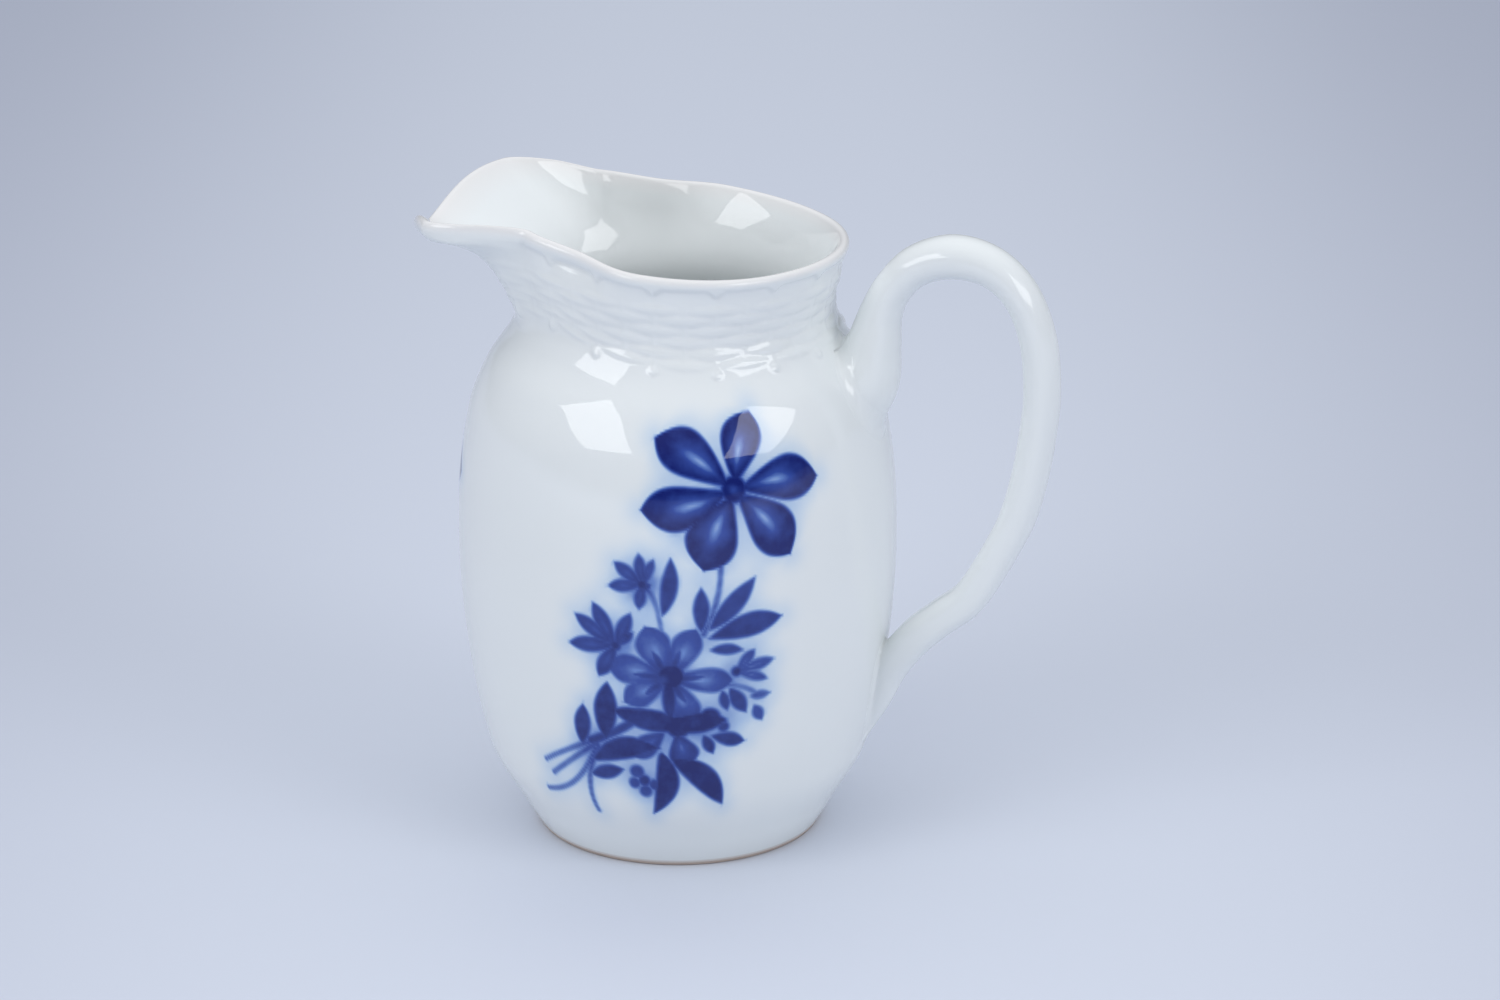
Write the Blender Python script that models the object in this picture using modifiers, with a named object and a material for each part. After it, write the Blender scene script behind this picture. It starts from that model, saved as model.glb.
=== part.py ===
"""A porcelain cream jug: a slip-cast body with a pulled-out lip, and a loop handle luted on with slip.

Everything is in metres, +Z up. The jug stands on the plane z = 0. The handle points along +X and the
spout along -X, and the object is symmetric about the XZ plane. The origin is at the middle of the
footprint of the whole object.
"""

import math

import bmesh
import bpy
from mathutils import Vector
from mathutils.geometry import interpolate_bezier

MM = 0.001

# Driving dimensions of the body, measured from the axis of its belly and from the table
BELLY_RADIUS = 39.3 * MM
BELLY_HEIGHT = 54 * MM
FOOT_RADIUS = 25.9 * MM
NECK_RADIUS = 28 * MM
NECK_HEIGHT = 98 * MM
MOUTH_RADIUS = 29.5 * MM
RIM_HEIGHT = 109.5 * MM
WALL = 3 * MM
INNER_FLOOR_RADIUS = 20.4 * MM

# The foot: a flat unglazed ring round a shallow recess
FOOT_RING_WIDTH = 3 * MM
FOOT_RECESS_DEPTH = 1.6 * MM
FLOOR_THICKNESS = 3.4 * MM

# The spout: how far the lip is pulled out and lifted, and over which angles from the spout's middle
SPOUT_REACH = 14.6 * MM
SPOUT_LIFT = 6 * MM
SPOUT_PINCH = 2.8 * MM
NOSE_ROUNDING = 1.1 * MM
SPOUT_FLAT_ANGLE = math.radians(29)
SPOUT_END_ANGLE = math.radians(46)
LIFT_START_ANGLE = math.radians(140)
LIFT_FULL_ANGLE = math.radians(38)
LIFT_POWER = 1.8
PINCH_ANGLE = math.radians(67)
PINCH_HALF_SPAN = math.radians(26)

# The beak: the narrow tip in the spout's middle, which reaches further and droops
BEAK_REACH = 2.5 * MM
BEAK_DROOP = 8 * MM
BEAK_ANGLE = math.radians(12)

# The spout's wall: its outside ends in a blunt nose, and under that it sweeps down into the neck
NOSE_HEIGHT = 2.3 * MM
UNDERSIDE_START = NECK_HEIGHT - 3 * MM
UNDERSIDE_SLOPE_SHARE = 0.42
UNDERSIDE_SLOPE_POWER = 1.2
UNDERSIDE_CURL_POWER = 9
INSIDE_POWER = 1.35

# The handle's centre line rises from the shoulder, loops over and comes back to the belly
HANDLE_REACH = 69.5 * MM
HANDLE_TOP = 109.5 * MM
HANDLE_HALF_THICKNESS = 3.5 * MM
HANDLE_HALF_WIDTH = 4.4 * MM

# Slip joints: a thin pad fills the space between each end of the handle and the wall
SLIP_THICKNESS = 1 * MM
SLIP_SPREAD = 1.06
CLEARANCE = 0.3 * MM
UPPER_STATIONS = 4
LOWER_STATIONS = 5

# The whole object is centred on its footprint, so the belly's axis sits off the origin
RIM_FLARE = 0.9 * MM
SPOUT_TIP = MOUTH_RADIUS + SPOUT_REACH + BEAK_REACH + RIM_FLARE / 2
AXIS_OFFSET = -(HANDLE_REACH - SPOUT_TIP) / 2

TURNING_STEPS = 64
PROFILE_STEPS = 3
CREST_STEPS = 5
HANDLE_SIDES = 20
HANDLE_STEPS = 3


def clear_scene():
    for obj in list(bpy.data.objects):
        bpy.data.objects.remove(obj, do_unlink=True)


def new_collection(name):
    collection = bpy.data.collections.new(name)
    bpy.context.scene.collection.children.link(collection)
    return collection


def glazed_material(name, colour, roughness):
    material = bpy.data.materials.new(name)
    material.use_nodes = True
    shader = material.node_tree.nodes["Principled BSDF"]
    shader.inputs["Base Color"].default_value = (*colour, 1)
    shader.inputs["Roughness"].default_value = roughness
    shader.inputs["Metallic"].default_value = 0
    shader.inputs["IOR"].default_value = 1.5
    return material


def smooth_through(points, steps):
    """A smooth line through the points, each stretch a cubic that leans along the neighbouring points."""
    points = [Vector((x, 0, z)) for x, z in points]
    line = [points[0]]
    for i in range(len(points) - 1):
        start, end = points[i], points[i + 1]
        before = points[max(i - 1, 0)]
        after = points[min(i + 2, len(points) - 1)]
        span = (end - start).length / 3
        lean_out = (end - before).normalized() * span
        lean_in = (after - start).normalized() * span
        line += interpolate_bezier(start, start + lean_out, end - lean_in, end, steps + 1)[1:]
    return line


def offset_line(line, distance):
    """The line moved sideways: to its left when followed from end to end with x to the right and z up."""
    moved = []
    for i, point in enumerate(line):
        along = line[min(i + 1, len(line) - 1)] - line[max(i - 1, 0)]
        sideways = Vector((-along.z, 0, along.x)).normalized()
        moved.append(point + sideways * distance)
    return moved


def outer_wall():
    """The outside of the body from the lip down to the foot."""
    shoulder = BELLY_RADIUS - 5.3 * MM
    return smooth_through(
        [
            (MOUTH_RADIUS + RIM_FLARE, RIM_HEIGHT - 1.4 * MM),
            (MOUTH_RADIUS + 0.2 * MM, RIM_HEIGHT - 3.6 * MM),
            (NECK_RADIUS, NECK_HEIGHT),
            (NECK_RADIUS + 1.6 * MM, NECK_HEIGHT - 4.6 * MM),
            (shoulder, NECK_HEIGHT - 11.2 * MM),
            (BELLY_RADIUS - 2.1 * MM, NECK_HEIGHT - 19.5 * MM),
            (BELLY_RADIUS, BELLY_HEIGHT + 8 * MM),
            (BELLY_RADIUS - 0.6 * MM, BELLY_HEIGHT - 14.5 * MM),
            (BELLY_RADIUS - 4.6 * MM, BELLY_HEIGHT - 37.5 * MM),
            (FOOT_RADIUS + 3.2 * MM, 6 * MM),
            (FOOT_RADIUS, 0.5 * MM),
        ],
        PROFILE_STEPS,
    )


def half_ring(centre, start, end, steps):
    """Points on the arc from start to end, anticlockwise in the XZ plane, without its two ends."""
    arm = Vector(start) - Vector(centre)
    first = math.atan2(arm.z, arm.x)
    arm_end = Vector(end) - Vector(centre)
    turn = (math.atan2(arm_end.z, arm_end.x) - first) % (2 * math.pi)
    points = []
    for i in range(1, steps):
        angle = first + turn * i / steps
        share = i / steps
        reach = arm.length * (1 - share) + arm_end.length * share
        points.append(Vector(centre) + Vector((math.cos(angle), 0, math.sin(angle))) * reach)
    return points


def foot_profile():
    """The foot ring and the recess under the floor, followed from the outside in to the axis."""
    inner = FOOT_RADIUS - FOOT_RING_WIDTH
    return [
        Vector((FOOT_RADIUS - 0.5 * MM, 0, 0)),
        Vector((inner, 0, 0)),
        Vector((inner - 1 * MM, 0, FOOT_RECESS_DEPTH)),
        Vector((0, 0, FOOT_RECESS_DEPTH)),
    ]


def inner_wall():
    """The inside of the body from the middle of its floor up to the lip."""
    floor = FOOT_RECESS_DEPTH + FLOOR_THICKNESS
    wall = offset_line(outer_wall(), -WALL)
    wall = [point for point in wall if point.z > floor + 2.6 * MM]
    wall.reverse()
    middle = Vector((0, 0, floor))
    edge = Vector((INNER_FLOOR_RADIUS, 0, floor + 0.4 * MM))
    return [middle, edge] + wall[::2] + wall[-1:]


def turned(name, profile, collection):
    """A solid turned from a profile that starts and ends on the axis and runs down its outer side."""
    mesh = bpy.data.meshes.new(name + "_profile")
    edges = [(i, i + 1) for i in range(len(profile) - 1)]
    mesh.from_pydata(profile, edges, [])
    obj = bpy.data.objects.new(name, mesh)
    collection.objects.link(obj)
    screw = obj.modifiers.new("turn", "SCREW")
    screw.axis = "Z"
    screw.steps = TURNING_STEPS
    screw.render_steps = TURNING_STEPS
    screw.use_merge_vertices = True
    screw.merge_threshold = 0.00001
    return obj


def as_mesh(obj, name, collection):
    """A plain mesh object with the shape that obj has once its modifiers are applied. It removes obj."""
    bpy.context.view_layer.update()
    evaluated = obj.evaluated_get(bpy.context.evaluated_depsgraph_get())
    mesh = bpy.data.meshes.new_from_object(evaluated)
    bm = bmesh.new()
    bm.from_mesh(mesh)
    bmesh.ops.remove_doubles(bm, verts=bm.verts, dist=0.001 * MM)
    bmesh.ops.recalc_face_normals(bm, faces=bm.faces)
    bm.to_mesh(mesh)
    bm.free()
    plain = bpy.data.objects.new(name, mesh)
    plain.matrix_world = obj.matrix_world
    collection.objects.link(plain)
    bpy.data.objects.remove(obj, do_unlink=True)
    plain.name = name
    return plain


def ease(value, start, end):
    """0 before start, 1 after end, and a smooth rise between. start may be the larger of the two."""
    share = min(max((value - start) / (end - start), 0), 1)
    return share * share * (3 - 2 * share)


def beak_share(from_spout):
    """How much of the beak's shape the lip has at this angle from the middle of the spout."""
    return math.exp(-((from_spout / BEAK_ANGLE) ** 2))


def spout_shape(from_spout):
    """How far the lip moves out and up at this angle from the middle of the spout."""
    nose = SPOUT_REACH - NOSE_ROUNDING * (from_spout / SPOUT_FLAT_ANGLE) ** 2
    outward = nose * ease(from_spout, SPOUT_END_ANGLE, SPOUT_FLAT_ANGLE)
    off_pinch = min(abs(from_spout - PINCH_ANGLE) / PINCH_HALF_SPAN, 1)
    outward -= SPOUT_PINCH * math.cos(off_pinch * math.pi / 2) ** 2
    rise = (LIFT_START_ANGLE - from_spout) / (LIFT_START_ANGLE - LIFT_FULL_ANGLE)
    upward = SPOUT_LIFT * min(max(rise, 0), 1) ** LIFT_POWER
    return outward, upward - BEAK_DROOP * beak_share(from_spout)


def radius_at(line, height):
    """The radius at this height of a line that runs downwards."""
    for above, below in zip(line, line[1:]):
        if below.z <= height <= above.z:
            return below.x + (above.x - below.x) * (height - below.z) / (above.z - below.z)
    return line[0].x


def underside_pull(height):
    """The share of the spout's reach that the outside of the wall has at this height."""
    span = RIM_HEIGHT - NOSE_HEIGHT - UNDERSIDE_START
    climb = min(max((height - UNDERSIDE_START) / span, 0), 1)
    slope = UNDERSIDE_SLOPE_SHARE * climb**UNDERSIDE_SLOPE_POWER
    return slope + (1 - UNDERSIDE_SLOPE_SHARE) * climb**UNDERSIDE_CURL_POWER


def pull_spout(mesh):
    """Pulls the mouth out and up into the spout. The turned mouth is round and level before this."""
    wall = outer_wall()
    for vertex in mesh.vertices:
        x, y, z = vertex.co
        if z <= UNDERSIDE_START:
            continue
        outward, upward = spout_shape(abs(math.atan2(y, -x)))
        radius = math.hypot(x, y)
        climb = max((z - NECK_HEIGHT) / (RIM_HEIGHT - NECK_HEIGHT), 0)
        outer_share = min(max(1 - (radius_at(wall, z) - radius) / WALL, 0), 1)
        inside_pull = climb**INSIDE_POWER
        pull = inside_pull + (underside_pull(z) - inside_pull) * outer_share
        beak = BEAK_REACH * beak_share(abs(math.atan2(y, -x))) * climb**2
        stretch = 1 + (outward * pull + beak) / radius
        vertex.co = (x * stretch, y * stretch, z + upward * climb)


def jug_body(collection):
    outside = outer_wall()
    inside = inner_wall()
    crest = half_ring(
        (outside[0] + inside[-1]) / 2,
        outside[0],
        inside[-1],
        CREST_STEPS,
    )
    crest.reverse()
    profile = inside + crest + outside + foot_profile()
    body = as_mesh(turned("body_turning", profile, collection), "jug_body", collection)
    pull_spout(body.data)
    return body


def grown_body(name, growth, collection):
    """A solid with no hollow whose outside stands this far off the body's wall, for cutting with."""
    wall = offset_line(outer_wall(), growth)
    top = Vector((0, 0, wall[0].z))
    bottom = Vector((0, 0, wall[-1].z))
    solid = as_mesh(turned(name, [top] + wall + [bottom], collection), name, collection)
    solid.hide_render = True
    solid.display_type = "WIRE"
    return solid


def handle_line():
    """The handle's centre line from inside the shoulder to inside the belly, and the swell at each point."""
    slimmer = 0.95
    furthest = HANDLE_REACH - slimmer * HANDLE_HALF_THICKNESS
    return [
        ((31.5 * MM, 79 * MM), 1.6),
        ((34.4 * MM, 86 * MM), 1.7),
        ((36 * MM, 93 * MM), 1.38),
        ((37.2 * MM, 98.5 * MM), 1.1),
        ((39.4 * MM, 103.2 * MM), 1.0),
        ((43.6 * MM, 107.5 * MM), 1.04),
        ((50 * MM, HANDLE_TOP), 1.1),
        ((57 * MM, 108 * MM), 1.0),
        ((62.3 * MM, 103 * MM), slimmer),
        ((65.3 * MM, 95 * MM), slimmer),
        ((furthest, 86 * MM), slimmer),
        ((65.6 * MM, 79.2 * MM), slimmer),
        ((64.5 * MM, 71.7 * MM), slimmer),
        ((62.7 * MM, 64.1 * MM), slimmer),
        ((60.2 * MM, 58 * MM), 0.92),
        ((54.4 * MM, 47.6 * MM), 0.92),
        ((49 * MM, 42.7 * MM), 0.92),
        ((44.4 * MM, 38.6 * MM), slimmer),
        ((39.8 * MM, 32.5 * MM), 0.92),
        ((36.8 * MM, 25.5 * MM), 0.8),
        ((34.4 * MM, 19.5 * MM), 0.5),
    ]


def section_outline(collection):
    """The oval that the handle is swept with."""
    curve = bpy.data.curves.new("handle_section", "CURVE")
    curve.dimensions = "2D"
    spline = curve.splines.new("POLY")
    spline.points.add(HANDLE_SIDES - 1)
    for i, point in enumerate(spline.points):
        angle = math.tau * i / HANDLE_SIDES
        across = HANDLE_HALF_WIDTH * math.cos(angle)
        outward = HANDLE_HALF_THICKNESS * math.sin(angle)
        point.co = (across, outward, 0, 1)
    spline.use_cyclic_u = True
    outline = bpy.data.objects.new("handle_section", curve)
    outline.hide_render = True
    outline.display_type = "WIRE"
    collection.objects.link(outline)
    return outline


def handle_sweep(name, section, stations, growth, collection):
    """A closed tube swept along some of the handle's stations, before it is cut to fit the wall."""
    curve = bpy.data.curves.new(name, "CURVE")
    curve.dimensions = "3D"
    curve.bevel_mode = "OBJECT"
    curve.bevel_object = section
    curve.use_fill_caps = True
    curve.resolution_u = HANDLE_STEPS
    spline = curve.splines.new("BEZIER")
    spline.bezier_points.add(len(stations) - 1)
    for point, ((x, z), swell) in zip(spline.bezier_points, stations):
        point.co = (x, 0, z)
        point.radius = swell * growth
        point.handle_left_type = "AUTO"
        point.handle_right_type = "AUTO"
    obj = bpy.data.objects.new(name, curve)
    collection.objects.link(obj)
    return as_mesh(obj, name, collection)


def cut(obj, cutter, operation="DIFFERENCE"):
    modifier = obj.modifiers.new(cutter.name, "BOOLEAN")
    modifier.operation = operation
    modifier.solver = "EXACT"
    modifier.object = cutter


def slip_pad(name, section, stations, near, far, collection):
    """The slip between one end of the handle and the wall, a thin skin with the handle's own outline."""
    pad = handle_sweep(name, section, stations, SLIP_SPREAD, collection)
    cut(pad, far, "INTERSECT")
    cut(pad, near)
    return pad


def shade(obj, material):
    obj.data.materials.clear()
    obj.data.materials.append(material)
    obj.data.shade_smooth()
    obj.data.set_sharp_from_angle(angle=math.radians(40))


def main():
    clear_scene()
    parts = new_collection("cream_jug")
    cutters = new_collection("cutters")
    glaze = glazed_material("white_glaze", (0.78, 0.82, 0.88), 0.12)
    slip = glazed_material("glazed_slip", (0.74, 0.78, 0.84), 0.2)

    body = jug_body(parts)
    section = section_outline(cutters)
    near = grown_body("wall_to_slip", CLEARANCE, cutters)
    far = grown_body("slip_to_air", CLEARANCE + SLIP_THICKNESS, cutters)
    clear = grown_body("slip_to_handle", 2 * CLEARANCE + SLIP_THICKNESS, cutters)

    stations = handle_line()
    handle = handle_sweep("handle", section, stations, 1, parts)
    cut(handle, clear)
    upper = slip_pad("upper_luting_joint", section, stations[:UPPER_STATIONS], near, far, parts)
    lower = slip_pad("lower_luting_joint", section, stations[-LOWER_STATIONS:], near, far, parts)

    shade(body, glaze)
    shade(handle, glaze)
    shade(upper, slip)
    shade(lower, slip)

    centre = bpy.data.objects.new("cream_jug", None)
    centre.location = (AXIS_OFFSET, 0, 0)
    parts.objects.link(centre)
    for obj in (body, handle, upper, lower):
        obj.parent = centre
    for obj in cutters.objects:
        obj.parent = centre


main()
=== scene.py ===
"""The looks of the porcelain cream jug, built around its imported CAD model.

Lengths are in metres. Inside the shape functions they are in millimetres from the belly's axis,
with the handle towards +X and the spout towards -X.
"""

import math

import bmesh
import bpy
import numpy as np
from mathutils import Matrix, Vector


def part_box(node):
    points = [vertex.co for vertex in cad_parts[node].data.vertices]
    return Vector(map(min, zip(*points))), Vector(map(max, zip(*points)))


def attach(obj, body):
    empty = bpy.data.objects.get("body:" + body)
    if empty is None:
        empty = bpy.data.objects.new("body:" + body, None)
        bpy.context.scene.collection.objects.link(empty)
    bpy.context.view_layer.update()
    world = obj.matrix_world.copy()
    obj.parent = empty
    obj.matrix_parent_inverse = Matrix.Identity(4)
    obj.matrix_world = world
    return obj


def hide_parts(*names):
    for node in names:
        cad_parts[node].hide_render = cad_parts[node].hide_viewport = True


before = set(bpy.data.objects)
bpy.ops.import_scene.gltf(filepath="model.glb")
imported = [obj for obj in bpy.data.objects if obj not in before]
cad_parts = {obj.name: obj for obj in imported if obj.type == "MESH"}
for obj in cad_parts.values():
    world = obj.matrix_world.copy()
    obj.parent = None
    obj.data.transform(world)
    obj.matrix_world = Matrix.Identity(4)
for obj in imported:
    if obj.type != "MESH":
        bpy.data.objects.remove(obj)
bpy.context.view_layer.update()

MM = 0.001

# The belly is round, so its greatest Y is its radius, and its axis is that far inside its greatest X
body_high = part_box("jug_body")[1]
AXIS_X = body_high.x - body_high.y

# The turned wall, in millimetres: the same formulas as the CAD model's
BELLY_RADIUS = 39.3
BELLY_HEIGHT = 54
FOOT_RADIUS = 25.9
NECK_RADIUS = 28
NECK_HEIGHT = 98
MOUTH_RADIUS = 29.5
RIM_HEIGHT = 109.5
WALL = 3
FOOT_RING_WIDTH = 3
FOOT_RECESS_DEPTH = 1.6
FLOOR_THICKNESS = 3.4
RIM_FLARE = 0.9

# The pulled spout. Its tip stays inside the solid's: it reaches 0.7 mm less and droops 1.6 mm less
SPOUT_REACH = 15.2
SPOUT_LIFT = 6
SPOUT_PINCH = 2.8
NOSE_ROUNDING = 0.4
BEAK_REACH = 1.2
BEAK_ANGLE = 19
DROOP_MOST = 6.4
DROOP_ANGLE = 15
SPOUT_FLAT_ANGLE = 29
SPOUT_END_ANGLE = 46
LIFT_START_ANGLE = 140
LIFT_FULL_ANGLE = 38
PINCH_ANGLE = 67
PINCH_HALF_SPAN = 26
LIFT_POWER = 1.8
NOSE_HEIGHT = 2.3
UNDERSIDE_START = NECK_HEIGHT - 3
UNDERSIDE_SLOPE_SHARE = 0.42
UNDERSIDE_SLOPE_POWER = 1.2
UNDERSIDE_CURL_POWER = 9
INSIDE_POWER = 1.35
THROAT_END_ANGLE = 70
THROAT_FLAT_ANGLE = 5
THROAT_DEPTH = 9

# The inside: the floor's radii and rises, where the wall starts, and how it opens under the lip
CORNER_RISE = 2.6
FLOOR_DISH = ((0.5, 0), (10, 0.1), (18, 0.3), (20.6, 0.8))
INNER_FLARE = 1.1
INNER_FLARE_DEPTH = 5
INNER_FLARE_POWER = 1.4

# The ozier relief round the neck: strands woven over and under upright stakes, with beads under them
COLUMNS = 408
WEAVES = 17
FIRST_WEAVE = -18.5
WEAVE_TOP = 105.0
WEAVE_BOTTOM = 93.4
WEAVE_RISE = 5.4
WEAVE_ROWS = 6
WEAVE_DEPTH = 0.28
STAKE_HEIGHT = 0.16
BAND_EDGE = 107.7
BAND_DEPTH = 0.5
LIP_WARM_START = BAND_EDGE + 0.4
NOTCH_DROP = 1.3
NOTCH_HALF_WIDTH = 3.2
BEAD_RADIUS = 0.85
BEAD_HEIGHT = 0.35
BEAD_LEVEL = -0.3
NOSE_CLEAR_ANGLE = 14
NOSE_CLEAR_SPAN = 16
RISE_START_ANGLE = 118
RISE_SPAN = 60
RISE_POWER = 1.7
STRAND_NARROW = 0.5
STRAND_SWELL = 0.48
STRAND_UNDER = 0.2
STAKE_HALF_ANGLE = 0.75
NOTCH_POWER = 1.3
HOLLOW_SPAN = 2.5

# The camera: a long lens a little above the jug, turned from the front towards the handle
CAMERA_AZIMUTH = 15
CAMERA_ELEVATION = 19.44
CAMERA_DISTANCE = 787.4
CAMERA_LENS = 105.1
AIM_ASIDE = 12.97
AIM_HEIGHT = 60.24

# The painted bouquet. Places are in millimetres on the unrolled belly: u to the right, v up.
BOUQUET_ANGLE = 75
SOFT_EDGE = 0.55
FLOW_REACH = 2.6
HALO_STRENGTH = 0.12
PAINT_LOWEST = 8
STEM_POINTS = 26
PETAL_START = 1.2
PALE_HALF_WIDTH = 0.52
PALE_MIDDLE = 0.42
PALE_HALF_LENGTH = 0.26
FOLD_CONTRAST = 0.3
FOLD_RATE = 9

# The handle's centre line. Each station has its x and z, half its thickness, half its width, and how
# square its section is.
HANDLE_STATIONS = [
    (31.5, 79.0, 5.6, 6.6, 2.0),
    (34.4, 86.0, 6.1, 7.6, 2.0),
    (36.0, 93.0, 4.8, 6.4, 2.0),
    (37.2, 98.5, 3.8, 5.2, 2.0),
    (39.4, 103.2, 3.5, 4.7, 2.0),
    (43.6, 107.5, 3.65, 4.7, 2.1),
    (50.0, 109.5, 3.8, 4.8, 2.2),
    (57.0, 108.0, 3.5, 4.5, 2.1),
    (62.3, 103.0, 3.3, 4.3, 2.0),
    (65.3, 95.0, 3.3, 4.1, 2.0),
    (66.1, 86.0, 3.3, 4.1, 2.0),
    (65.6, 79.2, 3.3, 4.1, 2.0),
    (64.5, 71.7, 3.3, 4.1, 2.1),
    (62.7, 64.1, 3.3, 4.1, 2.2),
    (60.2, 58.0, 3.2, 4.1, 2.4),
    (54.4, 47.6, 3.2, 4.1, 2.7),
    (49.0, 42.7, 3.2, 4.1, 2.7),
    (44.4, 38.6, 3.3, 4.1, 2.6),
    (39.8, 32.5, 3.2, 3.8, 2.2),
    (36.8, 25.5, 2.7, 3.0, 2.0),
    (34.4, 19.5, 1.5, 1.7, 2.0),
]

# How finely the meshes are divided
WALL_STEPS = 24
CREST_STEPS = 10
RELIEF_STEP = 0.33
BELLY_STEP = 0.8
LEAST_INK_TO_REFINE = 0.3
SEAM_FREE_ANGLE = 165
HANDLE_SIDES = 72
HANDLE_STEPS = 9
FILLET_STEPS = 9

# How far the handle and the slip fillets reach along the wall and into it
BURIED_RING_DEPTH = 0.6
BURY_DEPTH = 0.8
UPPER_FILLET = 2.6
LOWER_FILLET = 1.8
SINK = 0.25
FOOT_SINK = 0.6
SEAM_SINK = 0.7
SEAM_INWARDS = 0.4
TOP_INWARDS = 0.8

# Paint and clay colours, as linear red, green, blue and alpha
WHITE_COOL = (0.86, 0.89, 0.90, 1)
WHITE_GREEN = (0.85, 0.885, 0.88, 1)
LIP_WARM = (0.87, 0.86, 0.85, 1)
BARE_CLAY = (0.52, 0.42, 0.36, 1)
COBALT_DEEP = (0.008, 0.017, 0.17, 1)
COBALT_STOPS = (
    (0.1, (0.80, 0.88, 0.985, 1)),
    (0.22, (0.54, 0.69, 0.93, 1)),
    (0.45, (0.17, 0.29, 0.68, 1)),
    (0.7, (0.042, 0.088, 0.41, 1)),
)

# The glaze: how rough it is, how it waves, and the heights between which it ends at the foot
GLAZE_IOR = 1.5
SMOOTHEST = 0.02
ROUGHEST = 0.06
BARE_ROUGHNESS = 0.6
WAVE_STRENGTH = 0.1
WAVE_DISTANCE = 0.00015
WAVE_SCALE = 160
TINT_SCALE = 28
ROUGHNESS_SCALE = 90
MOTTLE_SCALE = 420
MOTTLE = 0.14
GLAZE_ENDS_OUTSIDE = (0.85, 0.5)
GLAZE_ENDS_UNDER = (0.4, 0.1)

# Studio: two square diffusers overhead on the camera's left and right, and even light from all round
ROOM_LOW = (0.20, 0.22, 0.26, 1)
ROOM_HIGH = (1.50, 1.55, 1.64, 1)
ROOM_STRENGTH = 0.74
FRONT_SHARE = 0.44
# The floor's colour holds painted light: a painted bright band through the jug and painted dimmer shade to
# its sides
FLOOR_PAINTED_BRIGHT = (0.67, 0.71, 0.80, 1)
FLOOR_PAINTED_DIM = (0.47, 0.50, 0.595, 1)
FLOOR_PAINTED_LIGHT_WIDTH = 0.15
SOFTBOX_DISTANCE = 1.3
SOFTBOX_SIDE = 0.85
SOFTBOX_POWER = 8.0
FRONT_START = -0.3
FLOOR_HALF_WIDTH = 4
FLOOR_ROUGHNESS = 0.95
FLOOR_SHINE = 0.1
SOFTBOX_AIM_HEIGHT = 0.08


def place(points):
    """Millimetres from the belly's axis to metres in the row frame."""
    placed = np.asarray(points, float) * MM
    placed[..., 0] += AXIS_X
    return placed


def ease(value, start, end):
    """0 before start, 1 after end, and a smooth rise between. start may be the larger of the two."""
    share = np.clip((value - start) / (end - start), 0, 1)
    return share * share * (3 - 2 * share)


def smooth_line(knots, steps):
    """The CAD model's smooth line: each stretch is a cubic that leans along the neighbouring knots."""
    knots = np.array(knots, float)
    line = [knots[0]]
    for i in range(len(knots) - 1):
        start, end = knots[i], knots[i + 1]
        before, after = knots[max(i - 1, 0)], knots[min(i + 2, len(knots) - 1)]
        span = np.linalg.norm(end - start) / 3
        out = start + (end - before) / np.linalg.norm(end - before) * span
        back = end - (after - start) / np.linalg.norm(after - start) * span
        for t in np.arange(1, steps + 1) / steps:
            point = (1 - t) ** 3 * start + 3 * t * (1 - t) ** 2 * out
            line.append(point + 3 * t**2 * (1 - t) * back + t**3 * end)
    return np.array(line)


WALL_LINE = smooth_line(
    [
        (MOUTH_RADIUS + RIM_FLARE, RIM_HEIGHT - 1.4),
        (MOUTH_RADIUS + 0.2, RIM_HEIGHT - 3.6),
        (NECK_RADIUS, NECK_HEIGHT),
        (NECK_RADIUS + 1.6, NECK_HEIGHT - 4.6),
        (BELLY_RADIUS - 5.3, NECK_HEIGHT - 11.2),
        (BELLY_RADIUS - 2.1, NECK_HEIGHT - 19.5),
        (BELLY_RADIUS, BELLY_HEIGHT + 8),
        (BELLY_RADIUS - 0.6, BELLY_HEIGHT - 14.5),
        (BELLY_RADIUS - 4.6, BELLY_HEIGHT - 37.5),
        (FOOT_RADIUS + 3.2, 6),
        (FOOT_RADIUS, 0.5),
    ],
    WALL_STEPS,
)


def wall_radius(height):
    """The outer radius of the turned wall at this height, before the spout is pulled."""
    return np.interp(height, WALL_LINE[::-1, 1], WALL_LINE[::-1, 0])


def beak_share(from_spout, width):
    """How much of the beak's shape the lip has at this angle from the middle of the spout."""
    return np.exp(-((from_spout / width) ** 2))


def spout_shape(from_spout):
    """How far the lip moves out and up at this angle in degrees from the middle of the spout."""
    nose = SPOUT_REACH - NOSE_ROUNDING * (from_spout / SPOUT_FLAT_ANGLE) ** 2
    outward = nose * ease(from_spout, SPOUT_END_ANGLE, SPOUT_FLAT_ANGLE)
    off_pinch = np.clip(np.abs(from_spout - PINCH_ANGLE) / PINCH_HALF_SPAN, 0, 1)
    outward = outward - SPOUT_PINCH * np.cos(off_pinch * math.pi / 2) ** 2
    rise = (LIFT_START_ANGLE - from_spout) / (LIFT_START_ANGLE - LIFT_FULL_ANGLE)
    upward = SPOUT_LIFT * np.clip(rise, 0, 1) ** LIFT_POWER
    return outward, upward - DROOP_MOST * beak_share(from_spout, DROOP_ANGLE)


def underside_pull(height):
    """The share of the spout's reach that the outside of the wall has at this height."""
    span = RIM_HEIGHT - NOSE_HEIGHT - UNDERSIDE_START
    climb = np.clip((height - UNDERSIDE_START) / span, 0, 1)
    slope = UNDERSIDE_SLOPE_SHARE * climb**UNDERSIDE_SLOPE_POWER
    return slope + (1 - UNDERSIDE_SLOPE_SHARE) * climb**UNDERSIDE_CURL_POWER


def from_spout_middle(angle):
    """The angle in degrees between this direction and the middle of the spout."""
    return 180 - np.abs((angle + 180) % 360 - 180)


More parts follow.
